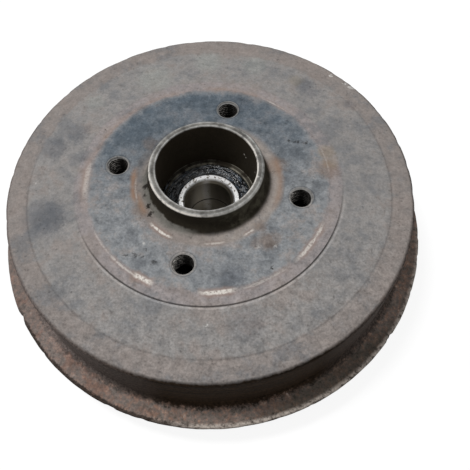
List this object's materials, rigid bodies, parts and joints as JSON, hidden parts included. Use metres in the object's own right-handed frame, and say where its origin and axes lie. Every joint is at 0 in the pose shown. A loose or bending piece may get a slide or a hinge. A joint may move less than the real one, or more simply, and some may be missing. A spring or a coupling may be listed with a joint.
{
  "type": "brake drum",
  "caption": "Hub-type rear brake drum in cast iron: shoe track inside, wheel face with spigot and tapped holes, and a pressed-in sealed ball bearing.",
  "frame": {"origin": "on the axis, in the plane of the drum's open mouth, which is its lowest point", "axes": "+Z along the axis out of the wheel's seating face, towards the outside of the car; +X through one of the four bolt holes"},
  "size_m": [0.2386, 0.2386, 0.0722],
  "materials": {
    "cast_iron_worn": "weathered grey cast iron with light brown rust, dull",
    "bearing_steel": "ground bearing steel",
    "ball_steel": "polished bearing steel",
    "spring_steel": "phosphated spring steel with grease on it",
    "seal_rubber": "black nitrile rubber, greasy",
    "cage_polyamide": "natural polyamide"
  },
  "bodies": {
    "drum": {"drum_casting": "cast_iron_worn", "bearing_outer_ring": "bearing_steel", "bearing_seal_outboard": "seal_rubber", "bearing_seal_inboard": "seal_rubber", "retaining_ring": "spring_steel"},
    "inner_race": {"bearing_inner_ring_outboard": "bearing_steel", "bearing_inner_ring_inboard": "bearing_steel"},
    "ball_row_outboard": {"ball_cage_outboard": "cage_polyamide", "ball_outboard_01": "ball_steel", "ball_outboard_02": "ball_steel", "ball_outboard_03": "ball_steel", "ball_outboard_04": "ball_steel", "ball_outboard_05": "ball_steel", "ball_outboard_06": "ball_steel", "ball_outboard_07": "ball_steel", "ball_outboard_08": "ball_steel", "ball_outboard_09": "ball_steel", "ball_outboard_10": "ball_steel", "ball_outboard_11": "ball_steel", "ball_outboard_12": "ball_steel"},
    "ball_row_inboard": {"ball_cage_inboard": "cage_polyamide", "ball_inboard_01": "ball_steel", "ball_inboard_02": "ball_steel", "ball_inboard_03": "ball_steel", "ball_inboard_04": "ball_steel", "ball_inboard_05": "ball_steel", "ball_inboard_06": "ball_steel", "ball_inboard_07": "ball_steel", "ball_inboard_08": "ball_steel", "ball_inboard_09": "ball_steel", "ball_inboard_10": "ball_steel", "ball_inboard_11": "ball_steel", "ball_inboard_12": "ball_steel"}
  },
  "joints": [
    {"name": "inner_race_spin", "type": "hinge", "parent": "drum", "child": "inner_race", "pos_m": [0, 0, 0.0219], "axis": [0, 0, 1], "continuous": true},
    {"name": "ball_row_outboard_spin", "type": "hinge", "parent": "drum", "child": "ball_row_outboard", "pos_m": [0, 0, 0.0298], "axis": [0, 0, 1], "continuous": true},
    {"name": "ball_row_inboard_spin", "type": "hinge", "parent": "drum", "child": "ball_row_inboard", "pos_m": [0, 0, 0.014], "axis": [0, 0, 1], "continuous": true}
  ],
  "couplings": [
    {"joint": "ball_row_outboard_spin", "follows": "inner_race_spin", "ratio": 0.417},
    {"joint": "ball_row_inboard_spin", "follows": "inner_race_spin", "ratio": 0.417}
  ]
}
